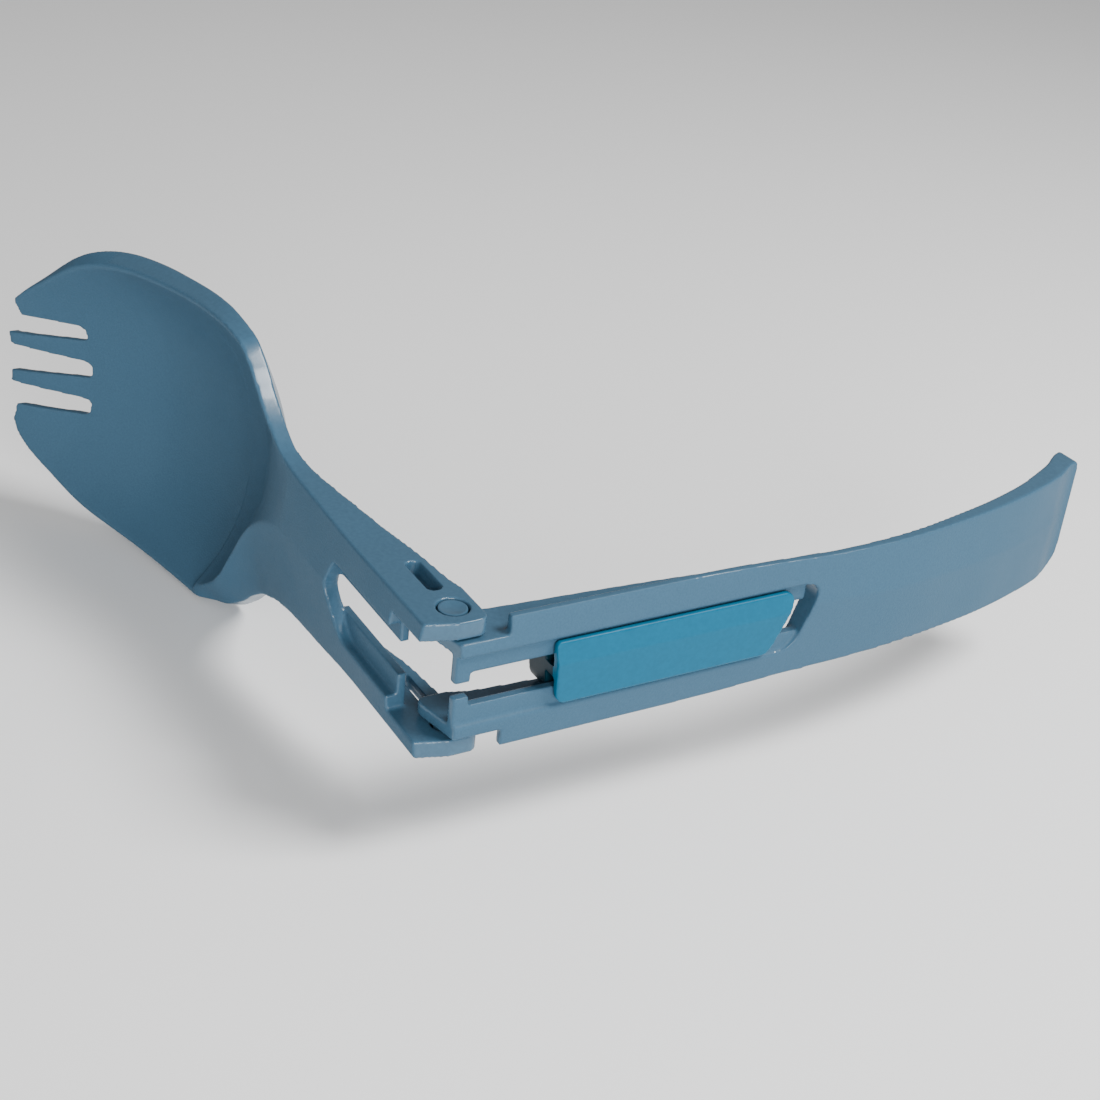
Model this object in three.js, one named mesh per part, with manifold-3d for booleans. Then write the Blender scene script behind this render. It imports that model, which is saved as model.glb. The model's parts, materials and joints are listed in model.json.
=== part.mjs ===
// Folding spork with a sliding lock.
//
// Everything is drawn in one flat working frame, in millimetres: the hinge pin axis is the Y axis,
// the bowl lies along -X, the handle's tail along +X, and +Z is the side that food lies on.
// At the end the head and the handle are stood on their side, with the handle folded half way.

import * as THREE from 'three';
import { mergeVertices } from 'three/addons/utils/BufferGeometryUtils.js';
import Module from 'manifold-3d';

const wasm = await Module();
wasm.setup();

// ---- Driving dimensions (mm) ----

const HEAD_LENGTH = 98.2; // pin axis to tine tips
const HANDLE_LENGTH = 98.6; // pin axis to tail end
const FOLD_AT_REST = 90; // degrees between straight and the stored pose

const ARM_HALF_WIDTH = 8.8; // outside of the head's two arms
const ARM_THICKNESS = 2.2;
const ARM_INSIDE = ARM_HALF_WIDTH - ARM_THICKNESS;
const ARM_END = 3.5; // how far the arms reach past the pin
const SIDE_GAP = 0.3; // between an arm and the ear inside it
const EAR_OUTSIDE = ARM_INSIDE - SIDE_GAP;
const CHANNEL_HALF_WIDTH = 4.6; // between the handle's two walls
const HEAD_WINDOW_HALF_WIDTH = 4.75;
const HEAD_WINDOW_START = 4.7; // distances from the pin, towards the bowl
const HEAD_WINDOW_END = 21.2;
const UPPER_TINE_END = 95.7;
const LOWER_TINE_END = 97;
const HANDLE_WINDOW_END = 48;
const STEP_AT = 5.3; // where the handle widens behind the head's arms

const HEAD_PLATE = 1.9; // wall thicknesses
const BOWL_THICKNESS = 1.6;
const RIM_WIDTH = 0.6;
const HANDLE_PLATE = 1.3;
const LIP_THICKNESS = 1.05;

const RAIL_TOP = 3.7; // the slide lock's rails, the same height in both halves
const RAIL_BOTTOM = 2.6;
const RAIL_INSIDE = 2.2;
const TAB_INSIDE = 1.0;

const PIN_HEAD_RADIUS = 1.6;
const PIN_RADIUS = 1.2;
const PIN_GAP = 0.3;
const PIN_END = EAR_OUTSIDE - 1; // the pin stops inside the ear
const EAR_HOLE_END = PIN_END - PIN_GAP;
const PIN_RECESS = 0.1; // the pin's face sits just under the arm's face
const COUNTERBORE_FLOOR = 7.2;
const PIN_SEGMENTS = 24;

const LOCK_FRONT = 11; // the slide lock's button, from the pin axis
const LOCK_BACK = 44.3;
const LOCK_HALF_WIDTH = CHANNEL_HALF_WIDTH - 0.3;
const LOCK_WEB = 0.7;
const LOCK_RIDGE = [1.6, 5.2];

const BEYOND = 30; // cutters reach this far past what they cut

// ---- Small tools ----

const clamp01 = (v) => Math.min(1, Math.max(0, v));
const smooth = (v) => clamp01(v) ** 2 * (3 - 2 * clamp01(v));
const mix = (a, b, t) => a + (b - a) * t;

// A smooth curve through [place, value] points, flat beyond both ends.
function curve(points) {
  const slope = points.map((_, i) => {
    if (i === 0 || i === points.length - 1) return 0;
    const before = (points[i][1] - points[i - 1][1]) / (points[i][0] - points[i - 1][0]);
    const after = (points[i + 1][1] - points[i][1]) / (points[i + 1][0] - points[i][0]);
    return before * after <= 0 ? 0 : (2 * before * after) / (before + after);
  });
  return (place) => {
    const last = points.length - 1;
    if (place <= points[0][0]) return points[0][1];
    if (place >= points[last][0]) return points[last][1];
    const i = points.findIndex((p) => p[0] > place) - 1;
    const span = points[i + 1][0] - points[i][0];
    const t = (place - points[i][0]) / span;
    const h = t * t * (3 - 2 * t);
    const bend = slope[i] * span * t * (1 - t) ** 2 - slope[i + 1] * span * t * t * (1 - t);
    return points[i][1] + (points[i + 1][1] - points[i][1]) * h + bend;
  };
}

function solid(geometry) {
  const plain = geometry.clone();
  plain.deleteAttribute('normal');
  plain.deleteAttribute('uv');
  const merged = mergeVertices(plain, 1e-5);
  return new wasm.Manifold(new wasm.Mesh({
    numProp: 3,
    vertProperties: new Float32Array(merged.attributes.position.array),
    triVerts: new Uint32Array(merged.index.array),
  }));
}

function geometryOf(manifold) {
  const mesh = manifold.getMesh();
  const geometry = new THREE.BufferGeometry();
  geometry.setAttribute('position', new THREE.BufferAttribute(new Float32Array(mesh.vertProperties), 3));
  geometry.setIndex(new THREE.BufferAttribute(new Uint32Array(mesh.triVerts), 1));
  return geometry;
}

// A closed skin over rings of [y, z] points, one ring for each place along X.
function loft(places, ringAt) {
  const rings = places.map((x) => ringAt(x));
  const count = rings[0].length;
  const position = [];
  rings.forEach((ring, i) => ring.forEach(([y, z]) => position.push(places[i], y, z)));
  const index = [];
  for (let i = 0; i < places.length - 1; i++) {
    for (let j = 0; j < count; j++) {
      const a = i * count + j;
      const b = i * count + ((j + 1) % count);
      index.push(a, b, b + count, a, b + count, a + count);
    }
  }
  const last = (places.length - 1) * count;
  const capAt = (ring) => THREE.ShapeUtils.triangulateShape(ring.map(([y, z]) => new THREE.Vector2(y, z)), []);
  capAt(rings[0]).forEach(([a, b, c]) => index.push(c, b, a));
  capAt(rings[places.length - 1]).forEach(([a, b, c]) => index.push(last + a, last + b, last + c));
  const geometry = new THREE.BufferGeometry();
  geometry.setAttribute('position', new THREE.BufferAttribute(new Float32Array(position), 3));
  geometry.setIndex(index);
  return geometry;
}

function box(x, y, z) {
  const geometry = new THREE.BoxGeometry(x[1] - x[0], y[1] - y[0], z[1] - z[0]);
  return solid(geometry.translate((x[0] + x[1]) / 2, (y[0] + y[1]) / 2, (z[0] + z[1]) / 2));
}

// An outline in the X-Y plane, raised from z[0] to z[1].
function upright(shape, z) {
  const geometry = new THREE.ExtrudeGeometry(shape, { depth: z[1] - z[0], bevelEnabled: false, curveSegments: 8 });
  return solid(geometry.translate(0, 0, z[0]));
}

// An outline in the X-Z plane, run across from y[0] to y[1].
function crosswise(shape, y) {
  const geometry = new THREE.ExtrudeGeometry(shape, { depth: y[1] - y[0], bevelEnabled: false, curveSegments: 8 });
  return solid(geometry.rotateX(Math.PI / 2).translate(0, y[1], 0));
}

// An outline in the Y-Z plane, run along from x[0] to x[1].
function lengthwise(shape, x) {
  const geometry = new THREE.ExtrudeGeometry(shape, { depth: x[1] - x[0], bevelEnabled: false, curveSegments: 8 });
  return solid(geometry.rotateX(Math.PI / 2).rotateZ(Math.PI / 2).translate(x[0], 0, 0));
}

// A polygon whose corners may be rounded: [a, b] or [a, b, radius].
function roundedShape(corners) {
  const shape = new THREE.Shape();
  corners.forEach(([a, b, radius = 0], i) => {
    const here = new THREE.Vector2(a, b);
    const towards = (corner) => new THREE.Vector2(corner[0], corner[1]).sub(here).normalize();
    const back = towards(corners[(i + corners.length - 1) % corners.length]);
    const on = towards(corners[(i + 1) % corners.length]);
    const reach = radius === 0 ? 0 : radius / Math.tan(back.angleTo(on) / 2);
    const start = here.clone().addScaledVector(back, reach);
    const end = here.clone().addScaledVector(on, reach);
    if (i === 0) shape.moveTo(start.x, start.y);
    else shape.lineTo(start.x, start.y);
    if (radius > 0) shape.quadraticCurveTo(here.x, here.y, end.x, end.y);
  });
  shape.closePath();
  return shape;
}

// A round bar across the spork, centred on the pin axis.
function bar(radius, y) {
  const geometry = new THREE.CylinderGeometry(radius, radius, y[1] - y[0], PIN_SEGMENTS);
  return solid(geometry.translate(0, (y[0] + y[1]) / 2, 0));
}

const bothSides = (make) => [1, -1].map((side) => make(side));
const across = (side, inner, outer) => (side > 0 ? [inner, outer] : [-outer, -inner]);
const steps = (from, to, count) => Array.from({ length: count + 1 }, (_, i) => mix(from, to, i / count));

// ---- The head ----
// Each curve runs along the head, by distance from the pin towards the tines.

const upperWidth = curve([[14, 8.8], [24, 9.2], [33, 9.7], [37, 10.5], [40, 12.1], [43.5, 14.8],
  [46.5, 18], [50, 20.7], [55, 21.5], [60, 21.6], [68, 21.3], [76, 20.6], [81, 19.6], [85, 18],
  [89, 15.3], [93, 12.2], [98.2, 8.4]]);
const lowerWidth = curve([[14, 8.8], [24, 9.4], [33, 10], [37, 10.8], [41, 12.3], [45, 14.2],
  [49, 16.8], [53, 19.9], [57, 22], [61, 22.2], [68, 21.8], [76, 21], [81, 20.1], [85, 19], [89, 17],
  [93, 14.4], [96, 11.6], [98.2, 8.6]]);
const rimHeight = curve([[33, 4.75], [45, 5.2], [52, 6], [60, 7.1], [68, 8.9], [76, 11.4], [84, 15], [90, 18],
  [98.2, 21.8]]);
const ridgeHeight = curve([[20, 5.8], [36, 5.9], [47, 6.1], [55, 6.5], [60, 7.1], [68, 8.9], [76, 11.4],
  [84, 15], [90, 18], [98.2, 21.8]]);
const ridgePath = curve([[30, 1.6], [36, 1.1], [40, -0.3], [44, -3], [47, -6.2], [50.5, -11], [54, -15.8],
  [57, -18.6], [61, -20.6]]);
const shoulderHeight = curve([[33, 4.75], [41, 4.2], [46, 3.5], [52, 3.3], [57, 4.6], [61, 7.3]]);
const bowlDepth = curve([[34, 0], [38, 0.6], [42, 1.7], [46, 3.2], [50, 5], [54, 6.6], [60, 8], [66, 8.9],
  [72, 9.1], [78, 8.8], [84, 7.5], [89.4, 5.6], [93, 3.6], [96, 1.8], [98.2, 0.4]]);
const skirtDepth = curve([[36, 2.3], [50, 2.4], [60, 2.5], [75, 2.5], [80, 2.4], [84, 1.8], [87, 1.3],
  [90, 1], [94, 0.8], [98.2, 0.6]]);
const wallBottom = curve([[3, -2.9], [5.3, -2.4], [11.7, -1.7], [19.5, -0.3], [25.6, 0.8], [29, 1.4],
  [34, 2.2], [40, 2.8]]);
const hullFlare = curve([[46, 0], [53, 0.4], [57, 0.8], [65, 1], [75, 1.35], [80, 1.6], [84, 1.7],
  [87, 1.5], [90, 1], [92, 0.7], [96, 0.2]]); // the hull is widest below its rim
const backSquareness = curve([[46, 2.2], [60, 1.8], [75, 1.3]]); // 1 is round, more is flatter to the sides
const BOWL_STARTS = 34; // the hollow back of the neck turns into the round back of the bowl
const BOWL_WHOLE = 50;
const RIDGE_REACHES_RIM = 61;
const BOWL_FLATNESS = 2.5; // how square the bowl's inside is, 2 being a plain arc
const DECK_STEPS = 8;
const BACK_STEPS = 10;

function headTop(away) {
  const upper = upperWidth(away);
  const lower = lowerWidth(away);
  const ridge = away < RIDGE_REACHES_RIM ? Math.max(ridgePath(away), RIM_WIDTH - lower) : RIM_WIDTH - lower;
  const ridgeZ = ridgeHeight(away);
  const rim = rimHeight(away);
  const edge = away < RIDGE_REACHES_RIM ? Math.min(shoulderHeight(away), ridgeZ) : ridgeZ;
  const inner = upper - RIM_WIDTH * smooth((away - BOWL_STARTS) / 6);
  const drop = (t) => bowlDepth(away) * (1 - Math.abs(2 * t - 1) ** BOWL_FLATNESS);
  const hollow = steps(0, 1, DECK_STEPS).map((t) => {
    const eased = t - Math.sin(2 * Math.PI * t) / (2 * Math.PI) * 0.4;
    return [mix(inner, ridge, eased), mix(rim, ridgeZ, eased) - drop(eased)];
  });
  return { upper, lower, rim, edge, ridge, ridgeZ, hollow };
}

function headRing(x) {
  const away = -x;
  const { upper, lower, rim, edge, ridge, ridgeZ, hollow } = headTop(away);
  const deckAt = (y) => (y > ridge
    ? mix(ridgeZ, rim, (y - ridge) / (upper - ridge))
    : mix(ridgeZ, edge, (ridge - y) / (ridge + lower)));
  const bottom = wallBottom(away);
  const neckBack = [[-lower, bottom], [-lower + ARM_THICKNESS, bottom]];
  steps(-lower + ARM_THICKNESS, upper - ARM_THICKNESS, BACK_STEPS - 4)
    .forEach((y) => neckBack.push([y, deckAt(y) - HEAD_PLATE]));
  neckBack.push([upper - ARM_THICKNESS, bottom], [upper, bottom]);
  const bowlBack = steps(0, Math.PI, BACK_STEPS).map((angle) => {
    const side = (1 - Math.cos(angle)) / 2;
    const full = bowlDepth(away) + BOWL_THICKNESS - skirtDepth(away);
    const y = mix(-lower - hullFlare(away), upper + hullFlare(away), side);
    const bulge = full * Math.max(0, Math.sin(angle)) ** backSquareness(away);
    return [y, mix(edge, rim, side) - skirtDepth(away) - bulge];
  });
  const blend = smooth((away - BOWL_STARTS) / (BOWL_WHOLE - BOWL_STARTS));
  const back = neckBack.map(([y, z], i) => [mix(y, bowlBack[i][0], blend), mix(z, bowlBack[i][1], blend)]);
  return [[upper + 0.001, rim], ...hollow, [-lower, edge], ...back];
}

function tineSlot(middle, tipMiddle, tipWidth) {
  const root = 89.5;
  const rootWidth = 2.2;
  return upright(roundedShape([
    [-root, middle - rootWidth / 2, 0.9],
    [-HEAD_LENGTH - 2, tipMiddle - tipWidth / 2],
    [-HEAD_LENGTH - 2, tipMiddle + tipWidth / 2],
    [-root, middle + rootWidth / 2, 0.9],
  ].reverse()), [-BEYOND, BEYOND]);
}

function headWindow() {
  return upright(roundedShape([
    [-HEAD_WINDOW_START + 1, HEAD_WINDOW_HALF_WIDTH],
    [-HEAD_WINDOW_END + 1.4, HEAD_WINDOW_HALF_WIDTH, 1.2],
    [-HEAD_WINDOW_END - 0.4, 0.5, 1.5],
    [-HEAD_WINDOW_END + 3.6, -HEAD_WINDOW_HALF_WIDTH, 4.2],
    [-HEAD_WINDOW_START + 1, -HEAD_WINDOW_HALF_WIDTH],
  ]), [-BEYOND, BEYOND]);
}

function makeHead() {
  const places = [...steps(-HEAD_LENGTH, -33, 40), ...steps(-30, -2, 7), ARM_END + 1];
  let head = solid(loft(places, headRing));
  head = head.subtract(headWindow());
  head = head.subtract(box([-HEAD_WINDOW_START, BEYOND], [-ARM_INSIDE, ARM_INSIDE], [-BEYOND, BEYOND]));
  bothSides((side) => {
    const rail = box([-HEAD_WINDOW_END + 0.5, -HEAD_WINDOW_START], across(side, RAIL_INSIDE, ARM_INSIDE + 0.2),
      [RAIL_BOTTOM, RAIL_TOP]);
    head = head.add(rail);
    head = head.subtract(bar(PIN_RADIUS + PIN_GAP, across(side, 0, BEYOND)));
    head = head.subtract(bar(PIN_HEAD_RADIUS + PIN_GAP, across(side, COUNTERBORE_FLOOR, BEYOND)));
  });
  const armEnd = roundedShape([[2.3, BEYOND], [2.35, 4.7], [ARM_END, 0.8, 3], [ARM_END, -2.95, 1.6],
    [0.5, -2.95], [0.5, -BEYOND], [BEYOND, -BEYOND], [BEYOND, BEYOND]]);
  head = head.subtract(crosswise(armEnd, [-BEYOND, BEYOND]));
  const sideSlot = roundedShape([[-10.6, -0.9, 0.85], [-3.9, -0.9, 0.85], [-3.9, 0.9, 0.85], [-10.6, 0.9, 0.85]]);
  head = head.subtract(crosswise(sideSlot, [-BEYOND, BEYOND]));
  head = head.subtract(tineSlot(0, 0, 4.6));
  bothSides((side) => {
    head = head.subtract(tineSlot(side * 5.8, side * 5.5, 3.6));
    const tineEnd = side > 0 ? UPPER_TINE_END : LOWER_TINE_END;
    head = head.subtract(box([-BEYOND * 4, -tineEnd], across(side, 4.6, BEYOND), [0, BEYOND]));
  });
  return head;
}

// ---- The handle ----
// Each curve runs along the handle, by distance from the pin towards the tail.

const handleWidth = curve([[30, 8.6], [38, 8.4], [44, 8.15], [52, 7.9], [65, 7.8], [77, 7.9], [88, 8],
  [98.6, 8.25]]);
const handleEdge = curve([[40, 3.9], [52, 4.05], [58, 3.9], [65, 3.35], [71, 2.55], [77, 1.6], [83, 0.3],
  [88, -1.1], [93, -2.8], [98.6, -5.2]]);
const handleCrown = curve([[60, 0.75], [85, 0.5], [98.6, 0.1]]);
const creasePath = curve([[46, 1.9], [60, 1.3], [80, 0.9], [98.6, 0.6]]);
const earBottom = curve([[1, -3.1], [4.5, -2.3], [8.2, -2], [17.5, -1.5], [27.9, -0.8], [38.6, 0.1], [46, 0.6]]);
const tailSkirt = curve([[50, 1.1], [60, 1.25], [75, 1.9], [86, 2.5], [98.6, 3.4]]);
const TAIL_STARTS = 44;
const TAIL_WHOLE = 56;
const TAIL_SKIRT_THICKNESS = 1.2;

function handleRing(x) {
  const width = handleWidth(x);
  const edge = handleEdge(x);
  const crease = creasePath(x);
  const crest = edge + handleCrown(x);
  const deckAt = (y) => (y > crease
    ? mix(crest, edge, (y - crease) / (width - crease))
    : mix(crest, edge, (crease - y) / (crease + width)));
  const under = (y) => deckAt(y) - HANDLE_PLATE;
  const sideOf = (side) => {
    const lip = edge - LIP_THICKNESS;
    const skirt = edge - tailSkirt(x);
    const inner = width - TAIL_SKIRT_THICKNESS;
    const front = [[width, lip], [EAR_OUTSIDE, lip], [EAR_OUTSIDE, earBottom(x)],
      [CHANNEL_HALF_WIDTH, earBottom(x)], [CHANNEL_HALF_WIDTH, under(side * CHANNEL_HALF_WIDTH)]];
    const tail = [[width, skirt], [width - 0.4, skirt], [width - 0.8, skirt], [inner, skirt],
      [inner - 0.3, under(side * (inner - 0.3))]];
    const blend = smooth((x - TAIL_STARTS) / (TAIL_WHOLE - TAIL_STARTS));
    return front.map(([y, z], i) => [side * mix(y, tail[i][0], blend), mix(z, tail[i][1], blend)]);
  };
  const top = [[width, edge], [crease, crest], [-width, edge]];
  const middle = [[-1.5, under(-1.5)], [crease, crest - HANDLE_PLATE]];
  return [...top, ...sideOf(-1), ...middle, ...sideOf(1).reverse()];
}

function handleWindow() {
  return upright(roundedShape([
    [-BEYOND, CHANNEL_HALF_WIDTH],
    [-BEYOND, -CHANNEL_HALF_WIDTH],
    [HANDLE_WINDOW_END - 2.6, -CHANNEL_HALF_WIDTH, 3.6],
    [HANDLE_WINDOW_END + 0.5, CHANNEL_HALF_WIDTH, 1.9],
  ]), [-BEYOND, BEYOND]);
}

function makeHandle() {
  const places = [...steps(-4, 44, 12), ...steps(46, 58, 6), ...steps(61, HANDLE_LENGTH, 14)];
  let handle = solid(loft(places, handleRing));
  const endWall = box([HANDLE_WINDOW_END - 4, HANDLE_WINDOW_END + 2.5], [-5.6, 5.6], [1.7, 3.2]);
  handle = handle.add(endWall).subtract(handleWindow());
  bothSides((side) => {
    handle = handle.subtract(box([-BEYOND, STEP_AT], across(side, EAR_OUTSIDE, BEYOND), [-BEYOND, BEYOND]));
    const rail = box([-3, HANDLE_WINDOW_END - 1.5], across(side, RAIL_INSIDE, CHANNEL_HALF_WIDTH + 0.4),
      [RAIL_BOTTOM, RAIL_TOP]);
    const tab = box([-3, 0.9], across(side, TAB_INSIDE, RAIL_INSIDE + 0.2), [RAIL_BOTTOM, RAIL_TOP]);
    handle = handle.add(rail).add(tab);
    handle = handle.subtract(bar(PIN_RADIUS + PIN_GAP, across(side, EAR_HOLE_END, BEYOND)));
  });
  const earEnd = roundedShape([[-0.8, BEYOND], [-BEYOND, BEYOND], [-BEYOND, -BEYOND], [1.2, -BEYOND],
    [1.2, -3.15], [-2.45, -3.15, 1.3], [-0.8, 4.4]]);
  handle = handle.subtract(crosswise(earEnd, [-BEYOND, BEYOND]));
  const tailEnd = roundedShape([[HANDLE_LENGTH, 8.3, 1], [HANDLE_LENGTH, -8.3, 3.6], [HANDLE_LENGTH - 9, -8.3],
    [HANDLE_LENGTH - 9, -BEYOND], [BEYOND * 4, -BEYOND], [BEYOND * 4, BEYOND], [HANDLE_LENGTH - 9, BEYOND],
    [HANDLE_LENGTH - 9, 8.3]]);
  return handle.subtract(upright(tailEnd, [-BEYOND, BEYOND]));
}

// ---- The slide lock ----
// A button on top of the rails, a thin web between them and a foot under them.

function makeLock() {
  const w = LOCK_HALF_WIDTH;
  const [ridgeY, ridgeZ] = LOCK_RIDGE;
  const section = roundedShape([[w, 4.7, 0.3], [ridgeY, ridgeZ], [-w, 4.6, 0.5], [-w, RAIL_TOP + 0.3],
    [-LOCK_WEB, RAIL_TOP + 0.3], [-LOCK_WEB, RAIL_BOTTOM - 0.3], [-w, RAIL_BOTTOM - 0.3], [-w, -5],
    [w, -5], [w, RAIL_BOTTOM - 0.3], [LOCK_WEB, RAIL_BOTTOM - 0.3], [LOCK_WEB, RAIL_TOP + 0.3],
    [w, RAIL_TOP + 0.3]]);
  const wide = w + 0.05;
  const outline = roundedShape([[LOCK_FRONT, wide, 0.9], [LOCK_FRONT + 0.8, -wide, 2.2],
    [LOCK_BACK - 2.8, -wide, 2.6], [LOCK_BACK + 0.3, wide, 1.7]]);
  const below = crosswise(roundedShape([[0, -9], [0, -2.6], [LOCK_BACK + 2, 0.6], [BEYOND * 2, 0.6],
    [BEYOND * 2, -9]]), [-BEYOND, BEYOND]);
  return lengthwise(section, [0, BEYOND * 2]).intersect(upright(outline, [-BEYOND, BEYOND])).subtract(below);
}

// ---- The pivot pins ----
// A stepped pin, pressed into each arm from outside, that turns in the handle's ear.

function makePin(side) {
  const outer = ARM_HALF_WIDTH - PIN_RECESS;
  const under = COUNTERBORE_FLOOR + PIN_GAP;
  const bevel = 0.2;
  const profile = [[0, PIN_END], [PIN_RADIUS - bevel, PIN_END], [PIN_RADIUS, PIN_END + bevel], [PIN_RADIUS, under],
    [PIN_HEAD_RADIUS, under], [PIN_HEAD_RADIUS, outer - bevel / 2], [PIN_HEAD_RADIUS - bevel / 2, outer],
    [0, outer]];
  const geometry = new THREE.LatheGeometry(profile.map(([r, h]) => new THREE.Vector2(r, h)), PIN_SEGMENTS);
  if (side < 0) geometry.rotateX(Math.PI);
  return solid(geometry);
}

// ---- Assembly ----

const slateBlue = () => new THREE.MeshStandardMaterial({ color: 0x416a8a, roughness: 0.55, metalness: 0 });
const turquoise = () => new THREE.MeshStandardMaterial({ color: 0x1283ad, roughness: 0.5, metalness: 0 });

function piece(name, manifold, material) {
  const mesh = new THREE.Mesh(geometryOf(manifold), material);
  mesh.name = name;
  return mesh;
}

const head = new THREE.Group();
head.add(piece('spork_head', makeHead(), slateBlue()));
head.add(piece('pivot_pin_upper', makePin(1), slateBlue()));
head.add(piece('pivot_pin_lower', makePin(-1), slateBlue()));

const handle = new THREE.Group();
handle.add(piece('handle', makeHandle(), slateBlue()));
handle.add(piece('slide_lock', makeLock(), turquoise()));
handle.rotation.y = THREE.MathUtils.degToRad(FOLD_AT_REST);

const onItsSide = new THREE.Group();
onItsSide.add(head, handle);
onItsSide.rotation.x = Math.PI / 2;

// The origin is under the middle of the whole object, on the surface that it stands over.
onItsSide.updateMatrixWorld(true);
const bounds = new THREE.Box3().setFromObject(onItsSide, true);
const middle = bounds.getCenter(new THREE.Vector3());
onItsSide.position.set(-middle.x, -middle.y, -bounds.min.z);

const group = new THREE.Group();
group.add(onItsSide);
export default group;
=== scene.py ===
"""Folding spork with a sliding lock, half folded and lying on its side."""
import json
import math

import bmesh
import bpy
import numpy as np
from mathutils import Matrix, Vector


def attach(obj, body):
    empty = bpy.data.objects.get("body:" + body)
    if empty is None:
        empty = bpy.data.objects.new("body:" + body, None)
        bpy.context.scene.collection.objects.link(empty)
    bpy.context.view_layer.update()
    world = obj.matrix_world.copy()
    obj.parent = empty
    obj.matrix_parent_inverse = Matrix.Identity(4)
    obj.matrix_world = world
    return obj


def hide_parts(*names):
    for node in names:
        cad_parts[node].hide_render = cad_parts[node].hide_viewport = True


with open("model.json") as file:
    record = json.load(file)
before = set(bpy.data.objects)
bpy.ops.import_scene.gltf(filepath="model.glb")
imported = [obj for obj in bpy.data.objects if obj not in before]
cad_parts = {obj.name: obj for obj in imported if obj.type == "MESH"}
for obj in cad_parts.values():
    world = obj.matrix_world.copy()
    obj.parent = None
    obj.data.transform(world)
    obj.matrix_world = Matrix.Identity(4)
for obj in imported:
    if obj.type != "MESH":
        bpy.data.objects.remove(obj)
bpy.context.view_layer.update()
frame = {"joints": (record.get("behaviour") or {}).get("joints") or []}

# The pieces are drawn in the CAD's flat working frame, in millimetres: the hinge pin axis is the
# Y axis, the bowl lies along -X, the handle's tail along +X, and +Z is the side that food lies on.
# The frame then stands the spork on its side, with the handle folded half way.
MM = 0.001
FOLD_AT_REST = 90  # degrees between straight and the photograph's pose
FOLD_JOINT = next(joint for joint in frame["joints"] if joint["name"] == "fold")
HINGE = Vector(FOLD_JOINT["pos_m"])
ON_ITS_SIDE = Matrix.Rotation(math.radians(90), 4, "X")
HALF_FOLDED = Matrix.Rotation(math.radians(FOLD_AT_REST), 4, "Y")
HEAD_PLACE = Matrix.Translation(HINGE) @ ON_ITS_SIDE @ Matrix.Scale(MM, 4)
HANDLE_PLACE = Matrix.Translation(HINGE) @ ON_ITS_SIDE @ HALF_FOLDED @ Matrix.Scale(MM, 4)

# ---- Driving dimensions (mm) ----
# These are the CAD's, but for three that only the visual model has: a pin head 0.1 larger in radius,
# the dish in its face, and the arm slots' narrower inner side.

HEAD_LENGTH = 98.2  # pin axis to tine tips
HANDLE_LENGTH = 98.6  # pin axis to tail end
ARM_HALF_WIDTH = 8.8  # outside of the head's two arms
ARM_THICKNESS = 2.2
ARM_INSIDE = ARM_HALF_WIDTH - ARM_THICKNESS
ARM_END = 3.5  # how far the arms reach past the pin
SIDE_GAP = 0.3  # between an arm and the ear inside it
EAR_OUTSIDE = ARM_INSIDE - SIDE_GAP
CHANNEL_HALF_WIDTH = 4.6  # between the handle's two walls
HEAD_WINDOW_HALF_WIDTH = 4.75
HEAD_WINDOW_START = 4.7  # distances from the pin, towards the bowl
HEAD_WINDOW_END = 21.2
SIDE_SLOT_START = 3.9  # the long slot in each arm, narrower on its inner side
SIDE_SLOT_END = 10.6
SIDE_SLOT_OUTER_HALF_WIDTH = 0.9
SIDE_SLOT_INNER_HALF_WIDTH = 0.6
SIDE_SLOT_OUTER_DEPTH = 1.3
TINE_SLOT_ROOT = 89.5
TINE_SLOT_ROOT_WIDTH = 2.2
TINE_SLOT_ROOT_RADIUS = 0.9
OUTER_TINE_INSIDE = 4.6
UPPER_TINE_END = 95.7
LOWER_TINE_END = 97
HANDLE_WINDOW_END = 48
END_WALL_HALF_WIDTH = 5.6  # the wall round the window's rear end
END_WALL_HEIGHTS = (1.7, 3.2)
STEP_AT = 5.3  # where the handle widens behind the head's arms
HEAD_PLATE = 1.9
BOWL_THICKNESS = 1.6
RIM_WIDTH = 0.6
HANDLE_PLATE = 1.3
LIP_THICKNESS = 1.05
RAIL_TOP = 3.7  # the lock's rails, the same height in both halves
RAIL_BOTTOM = 2.6
RAIL_INSIDE = 2.2
TAB_INSIDE = 1.0
TAB_END = 0.9
TAB_ROOT = 0.2  # how far a tab or rail runs into what it grows from
HEAD_RAIL_ROOT = 0.2
HANDLE_RAIL_ROOT = 0.4
PIN_HEAD_RADIUS = 1.7
PIN_RADIUS = 1.2
PIN_GAP = 0.3
PIN_HOLE_RADIUS = 1.9
PIN_END = EAR_OUTSIDE - 1  # the pin stops inside the ear
EAR_HOLE_END = PIN_END - PIN_GAP
PIN_RECESS = 0.1  # the pin's face sits just under the arm's face
PIN_DISH = 0.07
COUNTERBORE_FLOOR = 7.2
LOCK_FRONT = 11  # the slide lock's button, from the pin axis
LOCK_BACK = 44.3
LOCK_HALF_WIDTH = CHANNEL_HALF_WIDTH - 0.3
LOCK_GAP = 0.3  # over and under the rails
LOCK_WEB = 0.7
LOCK_RIDGE = (1.6, 5.2)  # the crest of the button's two facets

# ---- Mesh quality ----

BEYOND = 30  # cutters reach this far past what they cut
VOXEL = 0.2  # the edge rounding of a piece is about one voxel
SMOOTHINGS = 4
LOCK_VOXEL = 0.14  # the lock is small, and its edges are crisper
LOCK_SMOOTHINGS = 3
MOST_FACES = 180000  # triangles in one piece
FINE_DECK_STEPS = 48
CAD_BACK_STEPS = 10  # the hull blends between the CAD's points
FINE_BACK_STEPS = 60
CORNER_STEPS = 10
ROUND_STEPS = 72
PIN_CREASE_ANGLE = 35


# ---- Small tools ----


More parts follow.
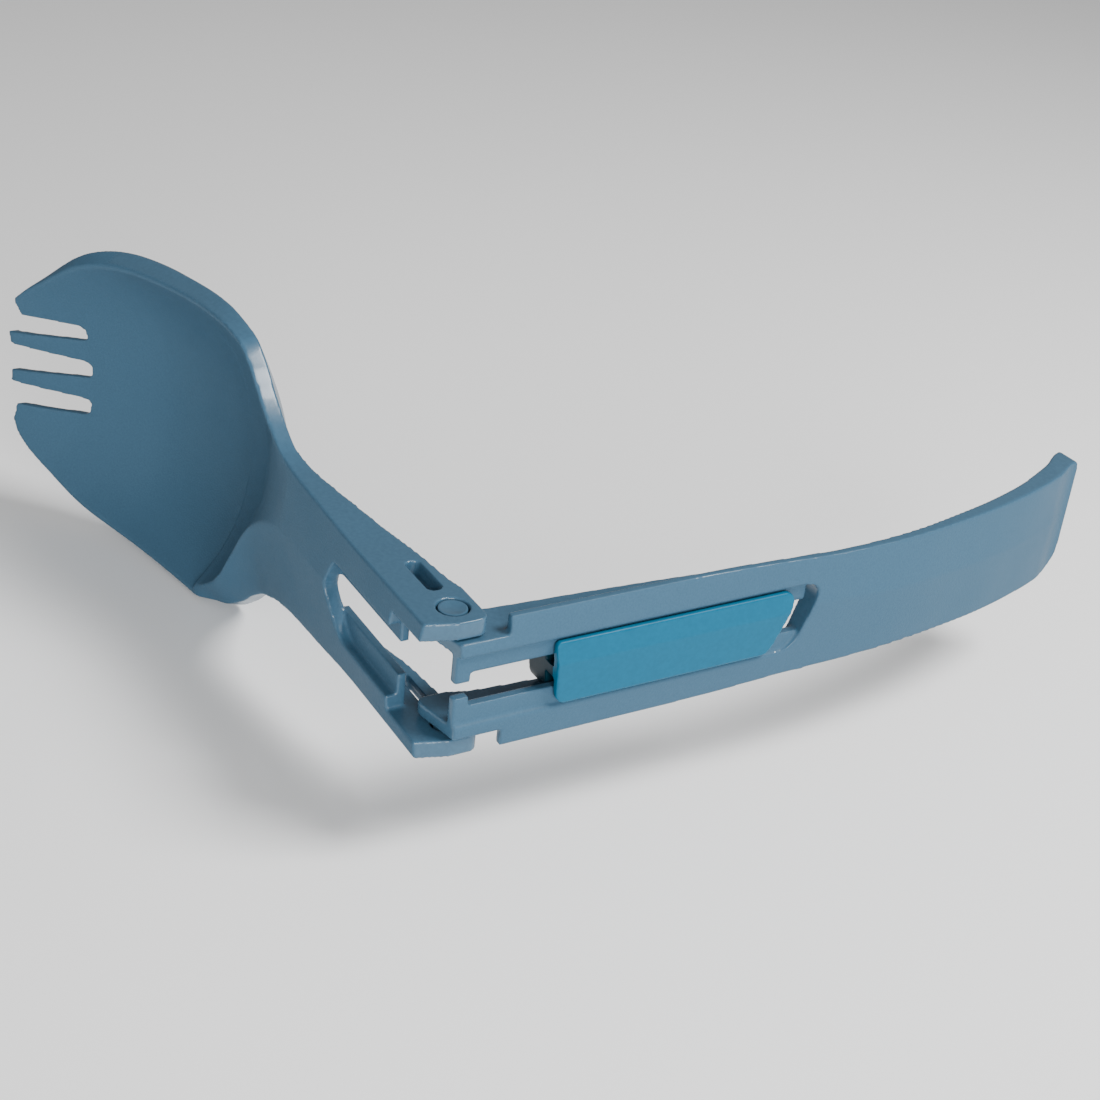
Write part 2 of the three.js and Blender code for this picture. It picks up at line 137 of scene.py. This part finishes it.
def smooth(value):
    held = min(1.0, max(0.0, value))
    return held * held * (3 - 2 * held)


def mix(a, b, t):
    return a + (b - a) * t


def steps(start, end, count):
    return [mix(start, end, i / count) for i in range(count + 1)]


def curve(points):
    """A smooth curve through (place, value) points, flat beyond both ends."""
    slopes = [0.0]
    for (x0, v0), (x1, v1), (x2, v2) in zip(points, points[1:], points[2:]):
        before = (v1 - v0) / (x1 - x0)
        after = (v2 - v1) / (x2 - x1)
        slopes.append(0.0 if before * after <= 0 else 2 * before * after / (before + after))
    slopes.append(0.0)

    def value(place):
        if place <= points[0][0]:
            return points[0][1]
        if place >= points[-1][0]:
            return points[-1][1]
        i = next(i for i, point in enumerate(points) if point[0] > place) - 1
        span = points[i + 1][0] - points[i][0]
        t = (place - points[i][0]) / span
        bend = slopes[i] * span * t * (1 - t) ** 2 - slopes[i + 1] * span * t * t * (1 - t)
        return mix(points[i][1], points[i + 1][1], t * t * (3 - 2 * t)) + bend

    return value


def made(name, vertices, faces):
    mesh = bpy.data.meshes.new(name)
    mesh.from_pydata([tuple(v) for v in vertices], [], faces)
    shape = bmesh.new()
    shape.from_mesh(mesh)
    bmesh.ops.recalc_face_normals(shape, faces=shape.faces)
    shape.to_mesh(mesh)
    shape.free()
    obj = bpy.data.objects.new(name, mesh)
    bpy.context.scene.collection.objects.link(obj)
    return obj


def loft(name, places, ring_at):
    """A closed skin over rings of (y, z) points, one ring for each place along X."""
    rings = [ring_at(x) for x in places]
    count = len(rings[0])
    vertices = [(x, y, z) for x, ring in zip(places, rings) for y, z in ring]
    faces = []
    for i in range(len(places) - 1):
        for j in range(count):
            a = i * count + j
            b = i * count + (j + 1) % count
            faces.append((a, b, b + count, a + count))
    last = (len(places) - 1) * count
    faces.append(tuple(range(count)))
    faces.append(tuple(range(last, last + count)))
    return made(name, vertices, faces)


def rounded(corners):
    """The points of a polygon whose corners may be rounded: (a, b) or (a, b, radius)."""
    points = []
    for i, corner in enumerate(corners):
        here = Vector(corner[:2])
        radius = corner[2] if len(corner) > 2 else 0
        back = (Vector(corners[i - 1][:2]) - here).normalized()
        on = (Vector(corners[(i + 1) % len(corners)][:2]) - here).normalized()
        if radius == 0:
            points.append(here)
            continue
        reach = radius / math.tan(back.angle(on) / 2)
        start = here + back * reach
        end = here + on * reach
        for t in steps(0, 1, CORNER_STEPS):
            points.append(start * (1 - t) ** 2 + here * 2 * t * (1 - t) + end * t * t)
    return points


def prism(outline, span, axis):
    """An outline run along one axis: X takes (y, z) points, Y takes (x, z) and Z takes (x, y)."""
    order = {"X": (2, 0, 1), "Y": (0, 2, 1), "Z": (0, 1, 2)}[axis]
    count = len(outline)
    corners = [(p[0], p[1], h) for h in span for p in outline]
    vertices = [tuple(corner[k] for k in order) for corner in corners]
    faces = [tuple(range(count)), tuple(range(count, 2 * count))]
    for i in range(count):
        j = (i + 1) % count
        faces.append((i, j, j + count, i + count))
    return made("cutter", vertices, faces)


def upright(outline, span=(-BEYOND, BEYOND)):
    return prism(outline, span, "Z")


def crosswise(outline, span=(-BEYOND, BEYOND)):
    return prism(outline, span, "Y")


def lengthwise(outline, span):
    return prism(outline, span, "X")


def block(x, y, z):
    return upright([(x[0], y[0]), (x[1], y[0]), (x[1], y[1]), (x[0], y[1])], z)


def bar(radius, span):
    """A round bar across the spork, centred on the pin axis."""
    turn = [2 * math.pi * i / ROUND_STEPS for i in range(ROUND_STEPS)]
    return crosswise([(radius * math.cos(a), radius * math.sin(a)) for a in turn], span)


def across(side, inner, outer):
    return (inner, outer) if side > 0 else (-outer, -inner)


def settle(obj):
    """Replaces an object's mesh by what its modifiers make of it."""
    seen = obj.evaluated_get(bpy.context.evaluated_depsgraph_get())
    mesh = bpy.data.meshes.new_from_object(seen)
    obj.modifiers.clear()
    obj.data = mesh
    return obj


def combine(obj, tool, operation):
    modifier = obj.modifiers.new("combine", "BOOLEAN")
    modifier.operation = operation
    modifier.solver = "MANIFOLD"
    modifier.object = tool
    settle(obj)
    bpy.data.objects.remove(tool)


def cut(obj, *tools):
    for tool in tools:
        combine(obj, tool, "DIFFERENCE")


def add(obj, *tools):
    for tool in tools:
        combine(obj, tool, "UNION")


def soften(obj, voxel=VOXEL, smoothings=SMOOTHINGS, most_faces=MOST_FACES):
    """Rounds every edge as a mould does, and keeps the face count within bounds."""
    remesh = obj.modifiers.new("remesh", "REMESH")
    remesh.mode = "VOXEL"
    remesh.voxel_size = voxel
    relax = obj.modifiers.new("relax", "SMOOTH")
    relax.factor = 0.5
    relax.iterations = smoothings
    settle(obj)
    triangles = 2 * len(obj.data.polygons)
    if triangles > most_faces:
        thin = obj.modifiers.new("thin", "DECIMATE")
        thin.ratio = most_faces / triangles
        settle(obj)
    return obj


# ---- The head ----
# Each curve runs along the head, by distance from the pin towards the tines.

upper_width = curve([(14, 8.8), (24, 9.2), (33, 9.7), (37, 10.5), (40, 12.1), (43.5, 14.8), (46.5, 18),
                     (50, 20.7), (55, 21.5), (60, 21.6), (68, 21.3), (76, 20.6), (81, 19.6), (85, 18),
                     (89, 15.3), (93, 12.2), (98.2, 8.4)])
lower_width = curve([(14, 8.8), (24, 9.4), (33, 10), (37, 10.8), (41, 12.3), (45, 14.2), (49, 16.8),
                     (53, 19.9), (57, 22), (61, 22.2), (68, 21.8), (76, 21), (81, 20.1), (85, 19),
                     (89, 17), (93, 14.4), (96, 11.6), (98.2, 8.6)])
rim_height = curve([(33, 4.75), (45, 5.2), (52, 6), (60, 7.1), (68, 8.9), (76, 11.4), (84, 15), (90, 18),
                    (98.2, 21.8)])
ridge_height = curve([(20, 5.8), (36, 5.9), (47, 6.1), (55, 6.5), (60, 7.1), (68, 8.9), (76, 11.4),
                      (84, 15), (90, 18), (98.2, 21.8)])
ridge_path = curve([(30, 1.6), (36, 1.1), (40, -0.3), (44, -3), (47, -6.2), (50.5, -11), (54, -15.8),
                    (57, -18.6), (61, -20.6)])
shoulder_height = curve([(33, 4.75), (41, 4.2), (46, 3.5), (52, 3.3), (57, 4.6), (61, 7.3)])
bowl_depth = curve([(34, 0), (38, 0.6), (42, 1.7), (46, 3.2), (50, 5), (54, 6.6), (60, 8), (66, 8.9),
                    (72, 9.1), (78, 8.8), (84, 7.5), (89.4, 5.6), (93, 3.6), (96, 1.8), (98.2, 0.4)])
skirt_depth = curve([(36, 2.3), (50, 2.4), (60, 2.5), (75, 2.5), (80, 2.4), (84, 1.8), (87, 1.3),
                     (90, 1), (94, 0.8), (98.2, 0.6)])
wall_bottom = curve([(3, -2.9), (5.3, -2.4), (11.7, -1.7), (19.5, -0.3), (25.6, 0.8), (29, 1.4),
                     (34, 2.2), (40, 2.8)])
hull_flare = curve([(46, 0), (53, 0.4), (57, 0.8), (65, 1), (75, 1.35), (80, 1.6), (84, 1.7), (87, 1.5),
                    (90, 1), (92, 0.7), (96, 0.2)])
back_squareness = curve([(46, 2.2), (60, 1.8), (75, 1.3)])
BOWL_STARTS = 34
BOWL_WHOLE = 50
RIDGE_REACHES_RIM = 61
BOWL_FLATNESS = 2.5


def hollow_at(away, upper, ridge, rim, ridge_z):
    """The food side between the upper rim and the ridge: flat on the neck, hollow in the bowl."""
    inner = upper - RIM_WIDTH * smooth((away - BOWL_STARTS) / 6)
    points = []
    for t in steps(0, 1, FINE_DECK_STEPS):
        eased = t - math.sin(2 * math.pi * t) / (2 * math.pi) * 0.4
        drop = bowl_depth(away) * (1 - abs(2 * eased - 1) ** BOWL_FLATNESS)
        points.append((mix(inner, ridge, eased), mix(rim, ridge_z, eased) - drop))
    return points


def neck_back_at(away, upper, lower, deck_at):
    """The CAD's points round the neck's back, which is hollow between two walls."""
    bottom = wall_bottom(away)
    points = [(-lower, bottom), (-lower + ARM_THICKNESS, bottom)]
    for y in steps(-lower + ARM_THICKNESS, upper - ARM_THICKNESS, CAD_BACK_STEPS - 4):
        points.append((y, deck_at(y) - HEAD_PLATE))
    points += [(upper - ARM_THICKNESS, bottom), (upper, bottom)]
    return points


def head_ring(x):
    away = -x
    upper = upper_width(away)
    lower = lower_width(away)
    rim_edge = RIM_WIDTH - lower
    ridge = max(ridge_path(away), rim_edge) if away < RIDGE_REACHES_RIM else rim_edge
    ridge_z = ridge_height(away)
    rim = rim_height(away)
    edge = min(shoulder_height(away), ridge_z) if away < RIDGE_REACHES_RIM else ridge_z

    def deck_at(y):
        if y > ridge:
            return mix(ridge_z, rim, (y - ridge) / (upper - ridge))
        return mix(ridge_z, edge, (ridge - y) / (ridge + lower))

    neck = neck_back_at(away, upper, lower, deck_at)
    skirt = skirt_depth(away)
    full = bowl_depth(away) + BOWL_THICKNESS - skirt
    blend = smooth((away - BOWL_STARTS) / (BOWL_WHOLE - BOWL_STARTS))
    back = []
    for t in steps(0, 1, FINE_BACK_STEPS):
        place = t * CAD_BACK_STEPS
        corner = min(int(place), CAD_BACK_STEPS - 1)
        neck_y = mix(neck[corner][0], neck[corner + 1][0], place - corner)
        neck_z = mix(neck[corner][1], neck[corner + 1][1], place - corner)
        side = (1 - math.cos(math.pi * t)) / 2
        round_back = max(0.0, math.sin(math.pi * t)) ** back_squareness(away)
        bowl_y = mix(-lower - hull_flare(away), upper + hull_flare(away), side)
        bowl_z = mix(edge, rim, side) - skirt - full * round_back
        back.append((mix(neck_y, bowl_y, blend), mix(neck_z, bowl_z, blend)))
    deck = hollow_at(away, upper, ridge, rim, ridge_z)
    return [(upper + 0.001, rim), *deck, (-lower, edge), *back]


def tine_slot(middle, tip_middle, tip_width):
    root = -TINE_SLOT_ROOT
    root_width = TINE_SLOT_ROOT_WIDTH
    past_tip = -HEAD_LENGTH - 2
    return upright(rounded([
        (root, middle - root_width / 2, TINE_SLOT_ROOT_RADIUS),
        (past_tip, tip_middle - tip_width / 2),
        (past_tip, tip_middle + tip_width / 2),
        (root, middle + root_width / 2, TINE_SLOT_ROOT_RADIUS),
    ]))


def head_window():
    return upright(rounded([
        (-HEAD_WINDOW_START + 1, HEAD_WINDOW_HALF_WIDTH),
        (-HEAD_WINDOW_END + 1.4, HEAD_WINDOW_HALF_WIDTH, 1.2),
        (-HEAD_WINDOW_END - 0.4, 0.5, 1.5),
        (-HEAD_WINDOW_END + 3.6, -HEAD_WINDOW_HALF_WIDTH, 4.2),
        (-HEAD_WINDOW_START + 1, -HEAD_WINDOW_HALF_WIDTH),
    ]))


def arm_end():
    return crosswise(rounded([
        (2.3, BEYOND), (2.35, 4.7), (ARM_END, 0.8, 3), (ARM_END, -2.95, 1.6),
        (0.5, -2.95), (0.5, -BEYOND), (BEYOND, -BEYOND), (BEYOND, BEYOND),
    ]))


def side_slot(half_width, span):
    radius = half_width - 0.05
    return crosswise(rounded([
        (-SIDE_SLOT_END, -half_width, radius), (-SIDE_SLOT_START, -half_width, radius),
        (-SIDE_SLOT_START, half_width, radius), (-SIDE_SLOT_END, half_width, radius),
    ]), span)


def make_head():
    places = [*steps(-HEAD_LENGTH, -30, 180), *steps(-29, -2, 27), ARM_END + 1]
    head = loft("spork_head_shell", places, head_ring)
    cut(head, head_window())
    cut(head, block((-HEAD_WINDOW_START, BEYOND), (-ARM_INSIDE, ARM_INSIDE), (-BEYOND, BEYOND)))
    for side in (1, -1):
        rail_place = across(side, RAIL_INSIDE, ARM_INSIDE + HEAD_RAIL_ROOT)
        add(head, block((-HEAD_WINDOW_END + 0.5, -HEAD_WINDOW_START), rail_place, (RAIL_BOTTOM, RAIL_TOP)))
        cut(head, bar(PIN_RADIUS + PIN_GAP, across(side, 0, BEYOND)))
        cut(head, bar(PIN_HOLE_RADIUS, across(side, COUNTERBORE_FLOOR, BEYOND)))
        cut(head, tine_slot(side * 5.8, side * 5.5, 3.6))
        tine_end = UPPER_TINE_END if side > 0 else LOWER_TINE_END
        cut(head, block((-BEYOND * 4, -tine_end), across(side, OUTER_TINE_INSIDE, BEYOND), (0, BEYOND)))
        slot_floor = ARM_HALF_WIDTH - SIDE_SLOT_OUTER_DEPTH
        cut(head, side_slot(SIDE_SLOT_OUTER_HALF_WIDTH, across(side, slot_floor, BEYOND)))
        cut(head, side_slot(SIDE_SLOT_INNER_HALF_WIDTH, across(side, 0, BEYOND)))
    cut(head, arm_end(), tine_slot(0, 0, 4.6))
    return soften(head)


# ---- The handle ----
# Each curve runs along the handle, by distance from the pin towards the tail.

handle_width = curve([(30, 8.6), (38, 8.4), (44, 8.15), (52, 7.9), (65, 7.8), (77, 7.9), (88, 8),
                      (98.6, 8.25)])
handle_edge = curve([(40, 3.9), (52, 4.05), (58, 3.9), (65, 3.35), (71, 2.55), (77, 1.6), (83, 0.3),
                     (88, -1.1), (93, -2.8), (98.6, -5.2)])
handle_crown = curve([(60, 0.75), (85, 0.5), (98.6, 0.1)])
crease_path = curve([(46, 1.9), (60, 1.3), (80, 0.9), (98.6, 0.6)])
ear_bottom = curve([(1, -3.1), (4.5, -2.3), (8.2, -2), (17.5, -1.5), (27.9, -0.8), (38.6, 0.1), (46, 0.6)])
tail_skirt = curve([(50, 1.1), (60, 1.25), (75, 1.9), (86, 2.5), (98.6, 3.4)])
TAIL_STARTS = 44
TAIL_WHOLE = 56
TAIL_SKIRT_THICKNESS = 1.2


def handle_ring(x):
    width = handle_width(x)
    edge = handle_edge(x)
    crease = crease_path(x)
    crest = edge + handle_crown(x)

    def under(y):
        across_deck = (y - crease) / (width - crease) if y > crease else (crease - y) / (crease + width)
        return mix(crest, edge, across_deck) - HANDLE_PLATE

    def side_of(side):
        lip = edge - LIP_THICKNESS
        skirt = edge - tail_skirt(x)
        inner = width - TAIL_SKIRT_THICKNESS
        bottom = ear_bottom(x)
        front = [(width, lip), (EAR_OUTSIDE, lip), (EAR_OUTSIDE, bottom),
                 (CHANNEL_HALF_WIDTH, bottom), (CHANNEL_HALF_WIDTH, under(side * CHANNEL_HALF_WIDTH))]
        tail = [(width, skirt), (width - 0.4, skirt), (width - 0.8, skirt), (inner, skirt),
                (inner - 0.3, under(side * (inner - 0.3)))]
        blend = smooth((x - TAIL_STARTS) / (TAIL_WHOLE - TAIL_STARTS))
        return [(side * mix(a[0], b[0], blend), mix(a[1], b[1], blend)) for a, b in zip(front, tail)]

    top = [(width, edge), (crease, crest), (-width, edge)]
    middle = [(-1.5, under(-1.5)), (crease, crest - HANDLE_PLATE)]
    return [*top, *side_of(-1), *middle, *side_of(1)[::-1]]


def handle_window():
    return upright(rounded([
        (-BEYOND, CHANNEL_HALF_WIDTH),
        (-BEYOND, -CHANNEL_HALF_WIDTH),
        (HANDLE_WINDOW_END - 2.6, -CHANNEL_HALF_WIDTH, 3.6),
        (HANDLE_WINDOW_END + 0.5, CHANNEL_HALF_WIDTH, 1.9),
    ]))


def ear_end():
    return crosswise(rounded([
        (-0.8, BEYOND), (-BEYOND, BEYOND), (-BEYOND, -BEYOND), (1.2, -BEYOND),
        (1.2, -3.15), (-2.45, -3.15, 1.3), (-0.8, 4.4),
    ]))


def tail_end():
    start = HANDLE_LENGTH - 9
    return upright(rounded([
        (HANDLE_LENGTH, 8.3, 1), (HANDLE_LENGTH, -8.3, 3.6), (start, -8.3), (start, -BEYOND),
        (BEYOND * 4, -BEYOND), (BEYOND * 4, BEYOND), (start, BEYOND), (start, 8.3),
    ]))


def make_handle():
    handle = loft("handle_shell", steps(-4, HANDLE_LENGTH, 205), handle_ring)
    wall_place = (-END_WALL_HALF_WIDTH, END_WALL_HALF_WIDTH)
    add(handle, block((HANDLE_WINDOW_END - 4, HANDLE_WINDOW_END + 2.5), wall_place, END_WALL_HEIGHTS))
    cut(handle, handle_window())
    for side in (1, -1):
        cut(handle, block((-BEYOND, STEP_AT), across(side, EAR_OUTSIDE, BEYOND), (-BEYOND, BEYOND)))
        rail_place = across(side, RAIL_INSIDE, CHANNEL_HALF_WIDTH + HANDLE_RAIL_ROOT)
        tab_place = across(side, TAB_INSIDE, RAIL_INSIDE + TAB_ROOT)
        add(handle, block((-3, HANDLE_WINDOW_END - 1.5), rail_place, (RAIL_BOTTOM, RAIL_TOP)))
        add(handle, block((-3, TAB_END), tab_place, (RAIL_BOTTOM, RAIL_TOP)))
        cut(handle, bar(PIN_RADIUS + PIN_GAP, across(side, EAR_HOLE_END, BEYOND)))
    cut(handle, ear_end(), tail_end())
    return soften(handle)


# ---- The slide lock ----


def make_lock():
    """A button on top of the rails, a thin web between them and a foot under them."""
    w = LOCK_HALF_WIDTH
    cap_under = RAIL_TOP + LOCK_GAP
    foot_top = RAIL_BOTTOM - LOCK_GAP
    section = rounded([
        (w, 4.7, 0.3), LOCK_RIDGE, (-w, 4.6, 0.5), (-w, cap_under), (-LOCK_WEB, cap_under),
        (-LOCK_WEB, foot_top), (-w, foot_top), (-w, -5), (w, -5), (w, foot_top),
        (LOCK_WEB, foot_top), (LOCK_WEB, cap_under), (w, cap_under),
    ])
    wide = w + 0.05
    outline = rounded([
        (LOCK_FRONT, wide, 0.9), (LOCK_FRONT + 0.8, -wide, 2.2),
        (LOCK_BACK - 2.8, -wide, 2.6), (LOCK_BACK + 0.3, wide, 1.7),
    ])
    below = [(0, -9), (0, -2.6), (LOCK_BACK + 2, 0.6), (BEYOND * 2, 0.6), (BEYOND * 2, -9)]
    lock = lengthwise(section, (0, BEYOND * 2))
    lock.name = "slide_lock_button"
    combine(lock, upright(outline), "INTERSECT")
    cut(lock, crosswise(below))
    return soften(lock, LOCK_VOXEL, LOCK_SMOOTHINGS)


# ---- The pivot pins ----


def make_pin(name, side):
    """A stepped round pin with a slightly dished face."""
    outer = ARM_HALF_WIDTH - PIN_RECESS
    under = COUNTERBORE_FLOOR + PIN_GAP
    bevel = 0.15
    profile = [
        (0, PIN_END), (PIN_RADIUS - bevel, PIN_END), (PIN_RADIUS, PIN_END + bevel), (PIN_RADIUS, under),
        (PIN_HEAD_RADIUS, under), (PIN_HEAD_RADIUS, outer - bevel),
        (PIN_HEAD_RADIUS - bevel * 0.3, outer - bevel * 0.3), (PIN_HEAD_RADIUS - bevel, outer),
        (PIN_HEAD_RADIUS - 0.3, outer - 0.01), (PIN_HEAD_RADIUS - 0.42, outer - PIN_DISH),
        (0, outer - PIN_DISH),
    ]
    vertices = [(0, side * profile[0][1], 0)]
    rings = profile[1:-1]
    for radius, height in rings:
        for i in range(ROUND_STEPS):
            turn = 2 * math.pi * i / ROUND_STEPS
            vertices.append((radius * math.cos(turn), side * height, radius * math.sin(turn)))
    vertices.append((0, side * profile[-1][1], 0))
    top = len(vertices) - 1
    faces = []
    for i in range(ROUND_STEPS):
        j = (i + 1) % ROUND_STEPS
        faces.append((0, 1 + i, 1 + j))
        faces.append((top, top - ROUND_STEPS + i, top - ROUND_STEPS + j))
        for ring in range(len(rings) - 1):
            base = 1 + ring * ROUND_STEPS
            faces.append((base + i, base + j, base + ROUND_STEPS + j, base + ROUND_STEPS + i))
    return made(name, vertices, faces)


# ---- Materials ----


def noise(nodes, links, coordinates, size_mm, detail=2.0):
    """Noise whose features are about size_mm across."""
    node = nodes.new("ShaderNodeTexNoise")
    node.inputs["Scale"].default_value = 1 / (size_mm * MM)
    node.inputs["Detail"].default_value = detail
    links.new(coordinates, node.inputs["Vector"])
    return node.outputs["Fac"]


def ranged(nodes, links, value, low, high):
    node = nodes.new("ShaderNodeMapRange")
    node.inputs["From Min"].default_value = 0.3
    node.inputs["From Max"].default_value = 0.7
    node.inputs["To Min"].default_value = low
    node.inputs["To Max"].default_value = high
    links.new(value, node.inputs["Value"])
    return node.outputs["Result"]


def moulded_plastic(name, colour, roughness, grain_mm, grain_depth_mm, specular=0.5):
    """Moulded plastic: a slightly uneven colour and gloss over a fine grain."""
    material = bpy.data.materials.new(name)
    material.use_nodes = True
    nodes = material.node_tree.nodes
    links = material.node_tree.links
    shader = nodes["Principled BSDF"]
    shader.inputs["Specular IOR Level"].default_value = specular
    coordinates = nodes.new("ShaderNodeTexCoord").outputs["Object"]
    blend = nodes.new("ShaderNodeMix")
    blend.data_type = "RGBA"
    blend.inputs["A"].default_value = (*[c * 0.93 for c in colour], 1)
    blend.inputs["B"].default_value = (*[c * 1.07 for c in colour], 1)
    speckle = noise(nodes, links, coordinates, grain_mm, 3.0)
    links.new(ranged(nodes, links, speckle, 0, 1), blend.inputs["Factor"])
    links.new(blend.outputs["Result"], shader.inputs["Base Color"])
    broad = noise(nodes, links, coordinates, 9.0, 2.0)
    links.new(ranged(nodes, links, broad, roughness * 0.92, roughness * 1.08), shader.inputs["Roughness"])
    bump = nodes.new("ShaderNodeBump")
    bump.inputs["Distance"].default_value = grain_depth_mm * MM
    links.new(noise(nodes, links, coordinates, grain_mm, 2.0), bump.inputs["Height"])
    links.new(bump.outputs["Normal"], shader.inputs["Normal"])
    return material


SLATE_BLUE = (0.036, 0.089, 0.142)  # linear colours
TURQUOISE = (0.0005, 0.090, 0.165)
# Painted shade: the lock's web and foot under its rails are the same turquoise plastic, darkened here to
# stand for the shade they sit in.
SHADE_DARKENED_TURQUOISE = (0.001, 0.018, 0.030)
DECK_LOOKS_UP = 0.55  # a face whose normal has more +Z than this belongs to the grained deck

grained_blue = moulded_plastic("grained_slate_blue", SLATE_BLUE, 0.50, 0.24, 0.035, 0.15)
smooth_blue = moulded_plastic("smooth_slate_blue", SLATE_BLUE, 0.22, 0.5, 0.004, 0.4)
turquoise = moulded_plastic("satin_turquoise", TURQUOISE, 0.36, 0.6, 0.004, 0.15)
# The lock's underside material: the turquoise darkened as painted shade.
painted_shade_turquoise = moulded_plastic("painted_shade_lock_underside", SHADE_DARKENED_TURQUOISE, 0.4, 0.5, 0.004, 0.15)


def finish_faces(obj, materials, choose):
    """Smooth shading, and a material for each face by where it is and where it looks (mm)."""
    obj.data.materials.clear()
    for material in materials:
        obj.data.materials.append(material)
    count = len(obj.data.polygons)
    normals = np.zeros(count * 3)
    centres = np.zeros(count * 3)
    obj.data.polygons.foreach_get("normal", normals)
    obj.data.polygons.foreach_get("center", centres)
    chosen = choose(centres.reshape(-1, 3), normals.reshape(-1, 3))
    obj.data.polygons.foreach_set("material_index", chosen.astype(np.int32))
    obj.data.polygons.foreach_set("use_smooth", np.ones(count, bool))


def install(obj, name, place, body):
    """Puts a finished piece where its CAD node is, to stand for it."""
    obj.name = name + "_shape"
    obj.data.transform(place)
    obj.data.update()
    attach(obj, body)
    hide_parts(name)


def deck_is_grained(centres, normals):
    return np.where(normals[:, 2] > DECK_LOOKS_UP, 0, 1)


head_piece = make_head()
finish_faces(head_piece, [grained_blue, smooth_blue], deck_is_grained)
install(head_piece, "spork_head", HEAD_PLACE, "head")

for pin_name, pin_side in (("pivot_pin_upper", 1), ("pivot_pin_lower", -1)):
    pin = make_pin(pin_name + "_mesh", pin_side)
    finish_faces(pin, [smooth_blue], lambda centres, normals: np.zeros(len(normals)))
    pin.data.set_sharp_from_angle(angle=math.radians(PIN_CREASE_ANGLE))
    install(pin, pin_name, HEAD_PLACE, "head")

handle_piece = make_handle()
finish_faces(handle_piece, [grained_blue, smooth_blue], deck_is_grained)
install(handle_piece, "handle", HANDLE_PLACE, "handle_body")

lock_piece = make_lock()
# Faces above the rails take the turquoise; faces below them take the darker painted-shade turquoise.
finish_faces(lock_piece, [turquoise, painted_shade_turquoise],
             lambda centres, normals: np.where(centres[:, 2] > RAIL_TOP + 0.1, 0, 1))
install(lock_piece, "slide_lock", HANDLE_PLACE, "lock_body")

# ---- Stage, light and camera ----

AMBIENT = 0.31


def pale_floor():
    half = 4.0
    corners = [(-half, -half, 0), (half, -half, 0), (half, half, 0), (-half, half, 0)]
    floor = made("floor", corners, [(0, 1, 2, 3)])
    material = bpy.data.materials.new("pale_floor")
    material.use_nodes = True
    shader = material.node_tree.nodes["Principled BSDF"]
    shader.inputs["Base Color"].default_value = (0.9, 0.9, 0.9, 1)
    shader.inputs["Roughness"].default_value = 0.9
    floor.data.materials.append(material)


def softbox(name, towards, distance, size, power):
    """An area light in the direction `towards` from the hinge, facing it: metres and watts."""
    lamp = bpy.data.lights.new(name, "AREA")
    lamp.size = size
    lamp.energy = power
    obj = bpy.data.objects.new(name, lamp)
    bpy.context.scene.collection.objects.link(obj)
    direction = Vector(towards).normalized()
    obj.location = HINGE + direction * distance
    obj.rotation_mode = "QUATERNION"
    obj.rotation_quaternion = direction.to_track_quat("Z", "Y")


def studio_light():
    world = bpy.data.worlds.new("studio")
    world.use_nodes = True
    background = world.node_tree.nodes["Background"]
    background.inputs["Color"].default_value = (1, 1, 1, 1)
    background.inputs["Strength"].default_value = AMBIENT
    bpy.context.scene.world = world
    softbox("side_softbox", (0.95, -0.25, 0.28), 0.6, 0.35, 4.8)
    softbox("front_softbox", (0.10, -0.95, 0.25), 0.6, 0.35, 0.7)
    softbox("top_softbox", (0.36, 0.47, 0.80), 0.5, 0.18, 3.4)


def studio_camera():
    """The photograph's viewpoint, given round the hinge in degrees and metres."""
    azimuth = math.radians(-32.646)
    elevation = math.radians(28.936)
    roll = math.radians(6.369)
    distance = 0.208501
    hinge_right = -0.01145
    hinge_up = -0.013831
    back = Vector((math.cos(elevation) * math.cos(azimuth), math.cos(elevation) * math.sin(azimuth),
                   math.sin(elevation)))
    level_right = Vector((0, 0, 1)).cross(back).normalized()
    level_up = back.cross(level_right)
    right = level_right * math.cos(roll) + level_up * math.sin(roll)
    up = level_up * math.cos(roll) - level_right * math.sin(roll)
    data = bpy.data.cameras.new("camera")
    data.sensor_width = 36
    data.lens = 61.18
    data.clip_start = 0.01
    data.clip_end = 20
    camera = bpy.data.objects.new("camera", data)
    bpy.context.scene.collection.objects.link(camera)
    turn = Matrix((right, up, back)).transposed().to_4x4()
    place = HINGE - right * hinge_right - up * hinge_up + back * distance
    camera.matrix_world = Matrix.Translation(place) @ turn
    bpy.context.scene.camera = camera


pale_floor()
studio_light()
studio_camera()
